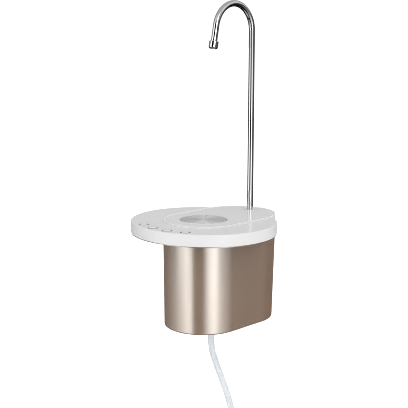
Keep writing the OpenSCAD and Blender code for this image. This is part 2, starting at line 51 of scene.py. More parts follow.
# Levels and sizes of the construction, in millimetres.
BODY_H, PLATE_Z, DECK_Z, BEAD_H, ROOF_Z = 120.3, 135.0, 135.7, 0.4, 133.0
TRAY_Z, TRAY_TOP, SLEEVE_TOP = 119.55, 121.2, 119.45
PLATE_A, PLATE_B, BODY_R, DRAFT, REAR_Y, REAR_LEAN = 94.0, 88.5, 50.7, 1.0, 61.5, 3.3
CUP_R, NECK_R, NECK_DEPTH = 29.7, 28.0, 41.0
SPOUT_Y, TUBE_R, TUBE_RI = 88.5, 4.0, 3.5
BEND_Z, BEND_R, BEND_ANGLE, LEG, NOZZLE_R = 368.4, 33.8, 169.0, 28.7, 5.85
KEY_R, KEY_CIRCLE, KEY_PITCH, KEY_TURN, KEY_TOP = 5.5, 78.5, 17.5, 1.6, 135.3
HOSE_ROUTE = [(0, 14, 40), (0, 14, 20), (0, 14, 0), (0, 14, -20), (1.5, 15.5, -40), (6, 19.5, -60), (11, 24.5, -80),
              (16, 29, -100), (20, 33, -120), (26.5, 39.5, -150), (32, 44.5, -180), (36.5, 49, -210), (40.5, 53, -240),
              (44, 56, -270), (46.5, 58.5, -300), (49, 61, -332)]
TRAY_PTS = [(-70, -22), (70, -22), (-66, 40), (66, 40)]
BASE_PTS = [(0, -37.5), (-34, 30), (34, 30), (-34, 75), (34, 75)]
FRAME_PTS = [(-41, 6), (41, 6), (-41, 56), (41, 56)]


def key_at(i):
    a = math.radians((i - 2.5) * KEY_PITCH + KEY_TURN)
    return KEY_CIRCLE * math.sin(a), -KEY_CIRCLE * math.cos(a)


# ---------------------------------------------------------------- camera
cam_data = bpy.data.cameras.new("camera")
cam_data.sensor_width = 36.0
cam_data.lens = 84.345
cam_data.clip_start, cam_data.clip_end = 0.01, 100.0
cam = bpy.data.objects.new("camera", cam_data)
scene.collection.objects.link(cam)
look, up = Vector((-0.680291, 0.710851, -0.178592)), Vector((-0.125071, 0.127503, 0.983921))
cam.matrix_world = Matrix.Translation((0.813544, -0.849407, 0.368771)) @ Matrix((look.cross(up), up, -look)).transposed().to_4x4()
scene.camera = cam


# ---------------------------------------------------------------- meshes
def make(name, verts, faces, angle=32.0):
    """A mesh object from points in millimetres, with smooth faces and sharp edges past an angle."""
    me = bpy.data.meshes.new(name)
    me.from_pydata([(x * MM, y * MM, z * MM) for x, y, z in verts], [], faces)
    bm = bmesh.new()
    bm.from_mesh(me)
    bmesh.ops.recalc_face_normals(bm, faces=bm.faces)
    bm.to_mesh(me)
    bm.free()
    me.shade_smooth()
    me.set_sharp_from_angle(angle=math.radians(angle))
    ob = bpy.data.objects.new(name, me)
    scene.collection.objects.link(ob)
    return ob


def skin(rings, caps=True, loop=False):
    """Points and faces of a skin through rings of equally many points; loop joins the last ring to the first."""
    n, m = len(rings[0]), len(rings)
    verts = [p for r in rings for p in r]
    faces = []
    for i in range(m if loop else m - 1):
        a, b = i * n, ((i + 1) % m) * n
        faces += [(a + k, a + (k + 1) % n, b + (k + 1) % n, b + k) for k in range(n)]
    if caps and not loop:
        faces.append(tuple(range(n - 1, -1, -1)))
        faces.append(tuple(range((m - 1) * n, m * n)))
    return verts, faces


def oval_ring(d, z, n=192):
    return [((PLATE_A - d) * math.cos(2 * math.pi * k / n), (PLATE_B - d) * math.sin(2 * math.pi * k / n), z) for k in range(n)]


def oblong_ring(r, z, n=72, rear_y=REAR_Y):
    front = [(r * math.cos(math.pi * (1 + k / n)), r * math.sin(math.pi * (1 + k / n)), z) for k in range(n + 1)]
    rear = [(r * math.cos(math.pi * k / n), rear_y + r * math.sin(math.pi * k / n), z) for k in range(n + 1)]
    return front + rear


def wall(z0, z1, r0, r1, steps=6):
    """(inset, height) up a wall with a rounded foot and a rounded top edge."""
    foot = [(r0 * (1 - math.sin(t)), z0 + r0 * (1 - math.cos(t))) for t in [math.pi / 2 * i / steps for i in range(steps + 1)]] if r0 else [(0, z0)]
    top = [(r1 * (1 - math.cos(t)), z1 - r1 * (1 - math.sin(t))) for t in [math.pi / 2 * i / steps for i in range(steps + 1)]] if r1 else [(0, z1)]
    return foot + top


def arc(cr, cz, r, a0, a1, steps=6):
    """(radius, height) along a round corner of a turned profile."""
    return [(cr + r * math.cos(math.radians(a0 + (a1 - a0) * i / steps)), cz + r * math.sin(math.radians(a0 + (a1 - a0) * i / steps))) for i in range(steps + 1)]


def turned(profile, n=64, at=(0, 0), closed=True, frame_of=None):
    """A turned shape from (radius, height) pairs. A closed profile joins its ends; an open one starts and ends on the axis."""
    rings = []
    verts, faces = [], []
    for r, z in profile:
        if r < 1e-6:
            rings.append([len(verts)])
            verts.append((0.0, 0.0, z))
        else:
            rings.append(list(range(len(verts), len(verts) + n)))
            verts += [(r * math.cos(2 * math.pi * k / n), r * math.sin(2 * math.pi * k / n), z) for k in range(n)]
    m = len(rings)
    for i in range(m if closed else m - 1):
        a, b = rings[i], rings[(i + 1) % m]
        for k in range(n):
            j = (k + 1) % n
            if len(a) == 1 and len(b) == 1:
                break
            if len(a) == 1:
                faces.append((a[0], b[j], b[k]))
            elif len(b) == 1:
                faces.append((a[k], a[j], b[0]))
            else:
                faces.append((a[k], a[j], b[j], b[k]))
    if frame_of is not None:
        verts = [tuple(frame_of @ Vector(v)) for v in verts]
    else:
        verts = [(x + at[0], y + at[1], z) for x, y, z in verts]
    return verts, faces


def swept(points, radius, n, ref=(1, 0, 0)):
    """Rings of a round tube along a path, with one steady side direction."""
    ref = Vector(ref)
    pts = [Vector(p) for p in points]
    rings = []
    for i, p in enumerate(pts):
        t = (pts[min(i + 1, len(pts) - 1)] - pts[max(i - 1, 0)]).normalized()
        u = ref.cross(t).normalized()
        v = t.cross(u)
        rings.append([tuple(p + radius * (math.cos(2 * math.pi * k / n) * u + math.sin(2 * math.pi * k / n) * v)) for k in range(n)])
    return rings


def pipe(points, ro, ri, n, lip=0.15, ref=(1, 0, 0)):
    """A hollow tube with slightly rounded ends."""
    pts = [Vector(p) for p in points]
    first, last = (pts[1] - pts[0]).normalized(), (pts[-1] - pts[-2]).normalized()
    long_pts = [pts[0], pts[0] + first * lip] + pts[1:-1] + [pts[-1] - last * lip, pts[-1]]
    outer = swept(long_pts, ro, n, ref)
    inner = swept(long_pts, ri, n, ref)
    outer[0], outer[-1] = swept([pts[0], pts[0] + first], ro - lip, n, ref)[0], swept([pts[-1] - last, pts[-1]], ro - lip, n, ref)[1]
    inner[0], inner[-1] = swept([pts[0], pts[0] + first], ri + lip * 0.5, n, ref)[0], swept([pts[-1] - last, pts[-1]], ri + lip * 0.5, n, ref)[1]
    return skin(outer + inner[::-1], loop=True)


def smooth_path(points, per=6):
    """Points along a smooth curve through a route."""
    p = [Vector(q) for q in points]
    p = [2 * p[0] - p[1]] + p + [2 * p[-1] - p[-2]]
    out = []
    for i in range(1, len(p) - 2):
        for s in range(per):
            t = s / per
            out.append(0.5 * (2 * p[i] + (p[i + 1] - p[i - 1]) * t + (2 * p[i - 1] - 5 * p[i] + 4 * p[i + 1] - p[i + 2]) * t * t
                              + (3 * p[i] - p[i - 1] - 3 * p[i + 1] + p[i + 2]) * t ** 3))
    out.append(p[-2])
    return [tuple(v) for v in out]


def combine(ob, steps, angle=32.0):
    """Joins shapes to ob or cuts them from it, in order: steps are ("UNION" or "DIFFERENCE", object)."""
    for how, other in steps:
        m = ob.modifiers.new(how, "BOOLEAN")
        m.operation, m.object, m.solver = how, other, "EXACT"
    bpy.context.view_layer.update()
    me = bpy.data.meshes.new_from_object(ob.evaluated_get(bpy.context.evaluated_depsgraph_get()))
    ob.modifiers.clear()
    old = ob.data
    ob.data = me
    bpy.data.meshes.remove(old)
    for _, other in steps:
        gone = other.data
        bpy.data.objects.remove(other, do_unlink=True)
        bpy.data.meshes.remove(gone)
    me.name = ob.name
    bm = bmesh.new()
    bm.from_mesh(me)
    bmesh.ops.remove_doubles(bm, verts=bm.verts, dist=1e-6)
    bmesh.ops.dissolve_degenerate(bm, dist=1e-6, edges=bm.edges)
    bm.to_mesh(me)
    bm.free()
    me.shade_smooth()
    me.set_sharp_from_angle(angle=math.radians(angle))
    return ob


def weighted(ob):
    """Keeps the flat faces flat beside their rounded edges."""
    m = ob.modifiers.new("flat_faces", "WEIGHTED_NORMAL")
    m.keep_sharp = True
    m.weight = 80
    return ob


def block(name, lo, hi):
    return make(name, *skin([[(lo[0], lo[1], z), (hi[0], lo[1], z), (hi[0], hi[1], z), (lo[0], hi[1], z)] for z in (lo[2], hi[2])]))


def rod(name, r, z0, z1, at=(0, 0), n=48):
    return make(name, *turned([(0, z0), (r, z0), (r, z1), (0, z1)], n, at, closed=False))


def flared(name, r, z0, z_face, lip, at=(0, 0), n=64):
    """A cutter that leaves a hole with a rounded lip at z_face, open upwards."""
    rim = arc(r + lip, z_face - lip, lip, 180, 105, 5)
    return make(name, *turned([(0, z0), (r, z0)] + rim + [(r + lip, z_face + 0.15), (r + lip, z_face + 3), (0, z_face + 3)], n, at, closed=False))


def flared_down(name, r, z1, z_face, lip, at=(0, 0), n=64):
    """A cutter that leaves a hole with a rounded lip at z_face, open downwards."""
    rim = arc(r + lip, z_face + lip, lip, 180, 255, 5)
    return make(name, *turned([(0, z1), (r, z1)] + rim + [(r + lip, z_face - 0.15), (r + lip, z_face - 3), (0, z_face - 3)], n, at, closed=False))


# ---------------------------------------------------------------- materials
def material(name):
    m = bpy.data.materials.new(name)
    m.use_nodes = True
    return m, m.node_tree, m.node_tree.nodes["Principled BSDF"]


def node(nt, kind, **values):
    n = nt.nodes.new(kind)
    for k, v in values.items():
        setattr(n, k, v)
    return n


def coords(nt, scale=(1, 1, 1)):
    """Row-frame coordinates of the piece, in metres, stretched by scale."""
    tc = node(nt, "ShaderNodeTexCoord")
    if tuple(scale) == (1, 1, 1):
        return tc.outputs["Object"]
    mp = node(nt, "ShaderNodeMapping")
    mp.inputs["Scale"].default_value = scale
    nt.links.new(tc.outputs["Object"], mp.inputs["Vector"])
    return mp.outputs["Vector"]


def noise(nt, vec, scale, detail=3.0, rough=0.55):
    n = node(nt, "ShaderNodeTexNoise")
    n.inputs["Scale"].default_value = scale
    n.inputs["Detail"].default_value = detail
    n.inputs["Roughness"].default_value = rough
    nt.links.new(vec, n.inputs["Vector"])
    return n.outputs["Fac"]


def span(nt, value, lo, hi, from_lo=0.3, from_hi=0.7):
    r = node(nt, "ShaderNodeMapRange")
    r.inputs["From Min"].default_value = from_lo
    r.inputs["From Max"].default_value = from_hi
    r.inputs["To Min"].default_value = lo
    r.inputs["To Max"].default_value = hi
    nt.links.new(value, r.inputs["Value"])
    return r.outputs["Result"]


def two_tone(nt, value, a, b):
    r = node(nt, "ShaderNodeValToRGB")
    r.color_ramp.elements[0].position, r.color_ramp.elements[1].position = 0.3, 0.7
    r.color_ramp.elements[0].color, r.color_ramp.elements[1].color = (*a, 1), (*b, 1)
    nt.links.new(value, r.inputs["Fac"])
    return r.outputs["Color"]


def bump(nt, bsdf, height, strength, distance, after=None):
    b = node(nt, "ShaderNodeBump")
    b.inputs["Strength"].default_value = strength
    b.inputs["Distance"].default_value = distance
    nt.links.new(height, b.inputs["Height"])
    if after is not None:
        nt.links.new(after, b.inputs["Normal"])
    nt.links.new(b.outputs["Normal"], bsdf.inputs["Normal"])
    return b.outputs["Normal"]


def scaled(c, f):
    return tuple(min(1.0, x * f) for x in c)


def moulded(name, colour, rough, grain=900.0, grain_depth=0.00002, strength=0.25, vary=0.05, ior=1.5):
    """Moulded plastic: faint flow marks in the colour, uneven gloss and a fine moulded grain."""
    m, nt, b = material(name)
    v = coords(nt)
    flow = noise(nt, coords(nt, (1.0, 1.0, 0.35)), 28.0, 3.0)
    nt.links.new(two_tone(nt, flow, scaled(colour, 1 - vary), scaled(colour, 1 + vary)), b.inputs["Base Color"])
    nt.links.new(span(nt, noise(nt, v, 130.0, 4.0), rough * 0.86, rough * 1.14), b.inputs["Roughness"])
    b.inputs["IOR"].default_value = ior
    bump(nt, b, noise(nt, v, grain, 3.0, 0.6), strength, grain_depth)
    return m


def metal(name, colour, rough, stretch=(1, 1, 1), scale=400.0, depth=0.000004, strength=0.3, vary=0.04):
    """Bright metal: drawn or ground marks along one direction, uneven polish."""
    m, nt, b = material(name)
    v = coords(nt, stretch)
    marks = noise(nt, v, scale, 4.0, 0.6)
    nt.links.new(two_tone(nt, marks, scaled(colour, 1 - vary), scaled(colour, 1 + vary)), b.inputs["Base Color"])
    nt.links.new(span(nt, noise(nt, v, scale * 0.45, 3.0), rough * 0.8, rough * 1.25), b.inputs["Roughness"])
    b.inputs["Metallic"].default_value = 1.0
    bump(nt, b, marks, strength, depth)
    return m


def make_stainless():
    """Polished tube: drawn marks along it, and painted shade where the bend faces up: the base colour darkens on
    upward-facing surfaces.
    """
    m = metal("stainless", (0.50, 0.50, 0.503), 0.05, (1, 1, 0.02), 900.0, 0.000003, 0.12)
    nt = m.node_tree
    b = nt.nodes["Principled BSDF"]
    drawn = b.inputs["Base Color"].links[0].from_socket
    # Painted shade: the base colour falls to 0.58 of itself as the surface normal turns upwards.
    facing = node(nt, "ShaderNodeSeparateXYZ")
    nt.links.new(node(nt, "ShaderNodeTexCoord").outputs["Normal"], facing.inputs[0])
    painted_shade_up = node(nt, "ShaderNodeVectorMath", operation="SCALE")
    nt.links.new(drawn, painted_shade_up.inputs[0])
    nt.links.new(span(nt, facing.outputs["Z"], 1.0, 0.58, 0.22, 0.5), painted_shade_up.inputs["Scale"])
    nt.links.new(painted_shade_up.outputs["Vector"], b.inputs["Base Color"])
    return m


def make_white_gloss():
    m, nt, b = material("white_gloss")
    v = coords(nt)
    flow = noise(nt, v, 22.0, 3.0)
    nt.links.new(two_tone(nt, flow, (0.577, 0.577, 0.577), (0.594, 0.594, 0.594)), b.inputs["Base Color"])
    nt.links.new(span(nt, noise(nt, v, 160.0, 4.0), 0.20, 0.25), b.inputs["Roughness"])
    b.inputs["IOR"].default_value = 1.5
    fine = bump(nt, b, noise(nt, v, 2600.0, 2.0, 0.5), 0.06, 0.00001)
    bump(nt, b, noise(nt, v, 240.0, 2.0, 0.5), 0.08, 0.00003, fine)
    return m


def make_champagne(name, depth):
    """Satin metallic lacquer: a warm base under a pale pearl, faint brushing down the wall and a soft uneven gloss."""
    m, nt, b = material(name)
    v = coords(nt)
    cloud = noise(nt, coords(nt, (1, 1, 0.25)), 34.0, 3.0)
    nt.links.new(two_tone(nt, cloud, scaled((0.241, 0.158, 0.108), depth), scaled((0.262, 0.172, 0.119), depth)), b.inputs["Base Color"])
    b.inputs["IOR"].default_value = 2.6
    b.inputs["Specular IOR Level"].default_value = 1.0
    b.inputs["Specular Tint"].default_value = (1.0, 0.97, 0.93, 1.0)
    nt.links.new(span(nt, noise(nt, coords(nt, (1, 1, 0.3)), 90.0, 4.0), 0.225, 0.265), b.inputs["Roughness"])
    bump(nt, b, noise(nt, coords(nt, (1, 1, 0.02)), 900.0, 2.0), 0.03, 0.000006)
    return m


def make_spun_metal():
    """Spun disc: turned rings about the neck axis, so the light gathers in wedges; the base colour also carries a
    painted sheen, lighter and darker wedges by angle about the axis.
    """
    m, nt, b = material("spun_metal")
    v = coords(nt)
    flat = node(nt, "ShaderNodeVectorMath", operation="MULTIPLY")
    flat.inputs[1].default_value = (1, 1, 0)
    nt.links.new(v, flat.inputs[0])
    length = node(nt, "ShaderNodeVectorMath", operation="LENGTH")
    nt.links.new(flat.outputs["Vector"], length.inputs[0])
    at = node(nt, "ShaderNodeCombineXYZ")
    nt.links.new(length.outputs["Value"], at.inputs["X"])
    rings = noise(nt, at.outputs["Vector"], 2600.0, 3.0, 0.7)
    coarse = noise(nt, at.outputs["Vector"], 420.0, 2.0, 0.6)
    # Painted sheen: angular noise about the axis lightens and darkens the base colour in wedges, standing in for the
    # spun finish's highlights.
    around = node(nt, "ShaderNodeVectorMath", operation="NORMALIZE")
    nt.links.new(flat.outputs["Vector"], around.inputs[0])
    painted_sheen_wedges = span(nt, noise(nt, around.outputs["Vector"], 7.0, 5.0, 0.7), 0.0, 1.0, 0.36, 0.64)
    shade = node(nt, "ShaderNodeMath", operation="MULTIPLY_ADD")
    shade.inputs[1].default_value = 0.35
    nt.links.new(coarse, shade.inputs[0])
    part = node(nt, "ShaderNodeMath", operation="MULTIPLY")
    part.inputs[1].default_value = 0.65
    nt.links.new(painted_sheen_wedges, part.inputs[0])
    nt.links.new(part.outputs["Value"], shade.inputs[2])
    nt.links.new(two_tone(nt, shade.outputs["Value"], (0.62, 0.62, 0.625), (0.83, 0.83, 0.835)), b.inputs["Base Color"])
    nt.links.new(span(nt, rings, 0.24, 0.36), b.inputs["Roughness"])
    b.inputs["Metallic"].default_value = 1.0
    b.inputs["Anisotropic"].default_value = 0.62
    b.inputs["Anisotropic Rotation"].default_value = 0.25
    tangent = node(nt, "ShaderNodeTangent", direction_type="RADIAL", axis="Z")
    nt.links.new(tangent.outputs["Tangent"], b.inputs["Tangent"])
    bump(nt, b, rings, 0.12, 0.00001)
    return m


def make_silicone_clear():
    """Translucent silicone: milky, with a soft bloom on the skin."""
    m, nt, b = material("silicone_clear")
    v = coords(nt)
    nt.links.new(two_tone(nt, noise(nt, v, 70.0, 3.0), (0.80, 0.84, 0.87), (0.88, 0.91, 0.93)), b.inputs["Base Color"])
    nt.links.new(span(nt, noise(nt, v, 240.0, 4.0), 0.26, 0.42), b.inputs["Roughness"])
    b.inputs["Transmission Weight"].default_value = 0.45
    b.inputs["IOR"].default_value = 1.41
    bump(nt, b, noise(nt, v, 1400.0, 3.0), 0.12, 0.00002)
    return m


def make_pcb():
    """Board with a solder mask: tracks show as slightly raised lighter runs."""
    m, nt, b = material("pcb_green")
    v = coords(nt)
    grid = node(nt, "ShaderNodeTexBrick")
    grid.inputs["Scale"].default_value = 160.0
    grid.inputs["Mortar Size"].default_value = 0.03
    grid.inputs["Color1"].default_value = (0.012, 0.10, 0.045, 1)
    grid.inputs["Color2"].default_value = (0.016, 0.13, 0.055, 1)
    grid.inputs["Mortar"].default_value = (0.04, 0.20, 0.09, 1)
    nt.links.new(v, grid.inputs["Vector"])
    nt.links.new(grid.outputs["Color"], b.inputs["Base Color"])
    nt.links.new(span(nt, noise(nt, v, 600.0), 0.28, 0.42), b.inputs["Roughness"])
    bump(nt, b, grid.outputs["Fac"], 0.2, 0.00003)
    return m


def make_wound_copper():
    """Enamelled windings: close turns along the rotor."""
    m, nt, b = material("wound_copper")
    w = node(nt, "ShaderNodeTexWave", wave_type="BANDS", bands_direction="Z")
    w.inputs["Scale"].default_value = 700.0
    w.inputs["Distortion"].default_value = 0.6
    nt.links.new(coords(nt), w.inputs["Vector"])
    nt.links.new(two_tone(nt, w.outputs["Fac"], (0.36, 0.13, 0.045), (0.66, 0.28, 0.11)), b.inputs["Base Color"])
    nt.links.new(span(nt, noise(nt, coords(nt), 500.0), 0.22, 0.4), b.inputs["Roughness"])
    b.inputs["Metallic"].default_value = 0.85
    bump(nt, b, w.outputs["Fac"], 0.5, 0.0001)
    return m


MATERIALS = {
    "white_gloss": make_white_gloss(),
    "white_satin": moulded("white_satin", (0.604, 0.604, 0.604), 0.38, 1800.0, 0.00001, 0.1, 0.012),
    # Lighter white for the platform bead: a painted highlight that makes the platform's edge show as a light line.
    "bead_white_painted_highlight": moulded("bead_white_painted_highlight", (0.67, 0.67, 0.67), 0.5, 1800.0, 0.00001, 0.15, 0.015, 1.45),
    "key_white": moulded("key_white", (0.66, 0.66, 0.66), 0.2, 1800.0, 0.00001, 0.1, 0.012),
    "champagne": make_champagne("champagne", 1.0),
    "champagne_plastic": make_champagne("champagne_plastic", 0.6),
    "spun_metal": make_spun_metal(),
    "stainless": make_stainless(),
    "dark_plastic": moulded("dark_plastic", (0.055, 0.052, 0.050), 0.5, 1500.0, 0.00004, 0.35, 0.12),
    "natural_plastic": moulded("natural_plastic", (0.68, 0.68, 0.655), 0.42, 1100.0, 0.00002, 0.25, 0.03),
    "silicone_clear": make_silicone_clear(),
    "silicone_white": moulded("silicone_white", (0.74, 0.74, 0.72), 0.55, 1300.0, 0.00003, 0.3, 0.03, 1.41),
    "black_rubber": moulded("black_rubber", (0.022, 0.022, 0.022), 0.6, 1200.0, 0.00004, 0.35, 0.15),
    "pcb_green": make_pcb(),
    "black_parts": moulded("black_parts", (0.035, 0.035, 0.036), 0.4, 1400.0, 0.00002, 0.3, 0.15),
    "cell_wrap": moulded("cell_wrap", (0.05, 0.14, 0.36), 0.26, 500.0, 0.00003, 0.15, 0.08),
    "bright_steel": metal("bright_steel", (0.62, 0.62, 0.63), 0.24, (1, 1, 1), 1500.0, 0.00001, 0.25),
    "wound_copper": make_wound_copper(),
    "ferrite": moulded("ferrite", (0.05, 0.05, 0.052), 0.55, 2200.0, 0.00003, 0.4, 0.15),
    "acetal": moulded("acetal", (0.74, 0.72, 0.64), 0.36, 1600.0, 0.00002, 0.25, 0.04),
    "wire_red": moulded("wire_red", (0.36, 0.022, 0.018), 0.42, 900.0, 0.00003, 0.25, 0.1),
    "wire_black": moulded("wire_black", (0.022, 0.022, 0.023), 0.42, 900.0, 0.00003, 0.25, 0.15),
    "ribbon_white": moulded("ribbon_white", (0.70, 0.70, 0.69), 0.36, 500.0, 0.00002, 0.2, 0.05),
}


def dress(ob, *slots):
    ob.data.materials.clear()
    for s in slots:
        ob.data.materials.append(MATERIALS[s])
    if len(slots) == 1:
        ob.data.polygons.foreach_set("material_index", [0] * len(ob.data.polygons))


def place(ob, body, slot, *nodes):
    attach(ob, body)
    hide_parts(*nodes)
    return ob


# The CAD pieces that stay take their slot's finish.
for part in frame["record"]["subparts"]:
    dress(frame["nodes"][part["node"]], part["material_slot"])

# ---------------------------------------------------------------- suction hose
path = smooth_path(HOSE_ROUTE, 7)
hose = make("hose_of_silicone", *pipe(path, 4.0, 2.6, 28, 0.25))
dress(hose, "silicone_clear")
place(hose, "base", "silicone_clear", "suction_hose")

# ---------------------------------------------------------------- top cover
cover = make("plate_cover", *skin([oval_ring(d, z) for d, z in wall(BODY_H, PLATE_Z, 0.9, 1.3)]))
bead = [(0.95 + 0.35 * math.sin(math.radians(15 * k)), DECK_Z + BEAD_H - 0.35 * (1 - math.cos(math.radians(15 * k)))) for k in range(7)] + [(1.34, DECK_Z + 0.015), (1.5, DECK_Z)]
platform = make("platform", *skin([oblong_ring(BODY_R - d, z) for d, z in wall(BODY_H, DECK_Z + BEAD_H, 0.9, 0.35) + bead]))
steps = [("UNION", platform),
         ("DIFFERENCE", make("hollow_1", *skin([oval_ring(1.6, z) for z in (BODY_H - 2, ROOF_Z)]))),
         ("DIFFERENCE", make("hollow_2", *skin([oblong_ring(BODY_R - 1.6, z) for z in (BODY_H - 2, ROOF_Z)]))),
         ("DIFFERENCE", flared("recess", CUP_R + 0.25, DECK_Z - 1.4, DECK_Z, 0.3, n=128)),
         ("DIFFERENCE", rod("spout_hole", 4.5, ROOF_Z - 2, DECK_Z + 2, (0, SPOUT_Y)))]
for i in range(1, 5):
    steps.append(("DIFFERENCE", flared(f"key_hole_{i}", KEY_R + 0.8, ROOF_Z - 2, PLATE_Z, 0.25, key_at(i))))
for i, p in enumerate(TRAY_PTS):
    steps.append(("UNION", rod(f"boss_{i}", 4.0, TRAY_TOP + 0.1, ROOF_Z + 0.5, p)))
    steps.append(("DIFFERENCE", rod(f"boss_hole_{i}", 1.4, TRAY_TOP - 1, ROOF_Z - 1.5, p, 24)))
combine(cover, steps)
dress(cover, "white_gloss", "bead_white_painted_highlight", "white_satin")
# Faces of the platform bead take the lighter white, a painted highlight along the platform's edge; the outer rim walls
# take the satin white.
for f in cover.data.polygons:
    x, y, z = (c / MM for c in f.center)
    edge = math.hypot(x, y - min(max(y, 0), REAR_Y))
    outside = (x / PLATE_A) ** 2 + (y / PLATE_B) ** 2 > 0.975 or edge > BODY_R - 0.6 and y > REAR_Y
    f.material_index = 1 if z > PLATE_Z + 0.1 and edge > BODY_R - 1.6 else 2 if outside and abs(f.normal.z) < 0.4 else 0
weighted(cover)
place(cover, "base", "white_gloss", "top_cover")

# ---------------------------------------------------------------- cup plate
top = DECK_Z + 0.1
profile = [(0, DECK_Z - 1.0), (CUP_R - 0.3, DECK_Z - 1.0), (CUP_R, DECK_Z - 0.8)] + arc(CUP_R - 0.3, top - 0.3, 0.3, 0, 90)
r = CUP_R - 0.7
while r > 1.2:
    profile += [(r, top), (r - 0.16, top - 0.045), (r - 0.34, top - 0.045), (r - 0.5, top)]
    r -= 1.15
profile.append((0, top))
disc = make("spun_disc", *turned(profile, 160, closed=False), angle=50)
dress(disc, "spun_metal")
place(disc, "base", "spun_metal", "cup_plate")

# ---------------------------------------------------------------- keys
for i in range(1, 5):
    x, y = key_at(i)
    cap = [(0, KEY_TOP - 0.12), (KEY_R * 0.45, KEY_TOP - 0.09), (KEY_R * 0.75, KEY_TOP - 0.03), (KEY_R - 0.75, KEY_TOP - 0.012), (KEY_R - 0.3, KEY_TOP)] + arc(KEY_R - 0.2, KEY_TOP - 0.2, 0.2, 90, 0, 5)
    skirt = [(KEY_R, ROOF_Z - 0.3), (KEY_R + 1.4, ROOF_Z - 0.3), (KEY_R + 1.6, ROOF_Z - 0.5), (KEY_R + 1.6, ROOF_Z - 1.8),
             (1.4, ROOF_Z - 1.8), (1.4, ROOF_Z - 5.2), (1.2, ROOF_Z - 5.4), (0, ROOF_Z - 5.4)]
    key = make(f"key_cap_{i}", *turned((cap + [(KEY_R, KEY_TOP - 0.55)] + skirt), 64, (x, y), closed=False))
    dress(key, "key_white", "black_parts")
    # Painted shade: the outer ring of the cap's top, its lower side wall and the skirt take the black finish, standing
    # in for the dark gap around each key.
    for f in key.data.polygons:
        out_r = math.hypot(f.center.x / MM - x, f.center.y / MM - y)
        deep = KEY_TOP - f.center.z / MM
        f.material_index = 0 if deep < 0.6 and (out_r < KEY_R - 0.76 or deep > 0.12) else 1
    place(key, f"key_{i}", "key_white", f"key_{i}")

# ---------------------------------------------------------------- lower tray
tray = make("tray_under", *skin([oval_ring(0.4 + d, z) for d, z in wall(TRAY_Z, TRAY_Z + 0.7, 0.2, 0)]))
steps = [("UNION", make("tray_tail", *skin([oblong_ring(BODY_R - 0.5 - d, z) for d, z in wall(TRAY_Z, TRAY_Z + 0.7, 0.2, 0)]))),
         ("UNION", make("tray_step", *skin([oval_ring(2.0, z) for z in (TRAY_Z + 0.5, TRAY_TOP)]))),
         ("UNION", make("tray_step_tail", *skin([oblong_ring(BODY_R - 2.0, z) for z in (TRAY_Z + 0.5, TRAY_TOP)]))),
         ("UNION", make("tray_collar", *skin([oblong_ring(BODY_R - 2.2, z) for z in (TRAY_Z - 7, TRAY_Z + 0.5)]))),
         ("DIFFERENCE", make("tray_mouth", *skin([oblong_ring(36, z) for z in (TRAY_Z - 8, TRAY_Z + 6)]))),
         ("DIFFERENCE", make("tray_well", *skin([oblong_ring(BODY_R - 4.4, z) for z in (TRAY_Z - 8, TRAY_Z)])))]
for i, p in enumerate(TRAY_PTS):
    steps.append(("DIFFERENCE", rod(f"tray_hole_{i}", 1.7, TRAY_Z - 1, TRAY_Z + 4, p, 24)))
    steps.append(("DIFFERENCE", flared_down(f"tray_sink_{i}", 3.2, TRAY_Z + 1.1, TRAY_Z, 0.2, p, 40)))
for i, p in enumerate(FRAME_PTS):
    steps.append(("DIFFERENCE", rod(f"tray_frame_hole_{i}", 1.7, TRAY_Z - 1, TRAY_Z + 4, p, 24)))
for i, a in enumerate((-34, 0, 34)):
    p = (80 * math.sin(math.radians(a)), -80 * math.cos(math.radians(a)))
    steps.append(("UNION", rod(f"tray_post_{i}", 2.8, TRAY_TOP - 0.2, 123.95, p, 32)))
    steps.append(("DIFFERENCE", rod(f"tray_post_hole_{i}", 0.95, TRAY_TOP + 0.4, 126, p, 20)))
combine(tray, steps)
dress(tray, "champagne_plastic")
weighted(tray)
place(tray, "base", "champagne_plastic", "lower_tray")


# ---------------------------------------------------------------- body sleeve
def body_at(z):
    return BODY_R - DRAFT * (SLEEVE_TOP - z) / SLEEVE_TOP


def rear_at(z):
    return REAR_Y - REAR_LEAN * (SLEEVE_TOP - z) / SLEEVE_TOP


outside = []
for k in range(9):
    z = 2.0 * (1 - math.cos(math.radians(90 * k / 8)))
    outside.append((body_at(z) - 1.4 * (1 - math.sin(math.radians(90 * k / 8))), z))
outside += [(body_at(z), z) for z in (20, 45, 70, 95, SLEEVE_TOP - 0.25)]
outside += [(BODY_R - 0.08, SLEEVE_TOP - 0.07), (BODY_R - 0.25, SLEEVE_TOP)]
inside = [(BODY_R - 1.6, SLEEVE_TOP), (body_at(60) - 1.6, 60), (body_at(3.5) - 1.6, 3.5), (body_at(0) - 2.8, 2.0), (body_at(0) - 4.8, 2.0), (body_at(0) - 5, 1.8),
          (body_at(0) - 5, 0.2), (body_at(0) - 4.8, 0)]
sleeve = make("satin_sleeve", *skin([oblong_ring(r, z, 96, rear_at(z)) for r, z in outside + inside], loop=True))


def slot_ring(y, grow):
    r, half = 2.2 + grow, 3.1
    right = [(half + r * math.cos(math.radians(a)), y, 15.2 + r * math.sin(math.radians(a))) for a in range(-90, 91, 15)]
    left = [(-half + r * math.cos(math.radians(a)), y, 15.2 + r * math.sin(math.radians(a))) for a in range(90, 271, 15)]
    return right + left


combine(sleeve, [("DIFFERENCE", make("charge_slot", *skin([slot_ring(y, g) for y, g in ((REAR_Y + 40, 0), (107.7, 0), (108.1, 0.12), (108.5, 0.45), (110, 1.2))])))])
dress(sleeve, "champagne")
weighted(sleeve)
place(sleeve, "base", "champagne", "body_sleeve")

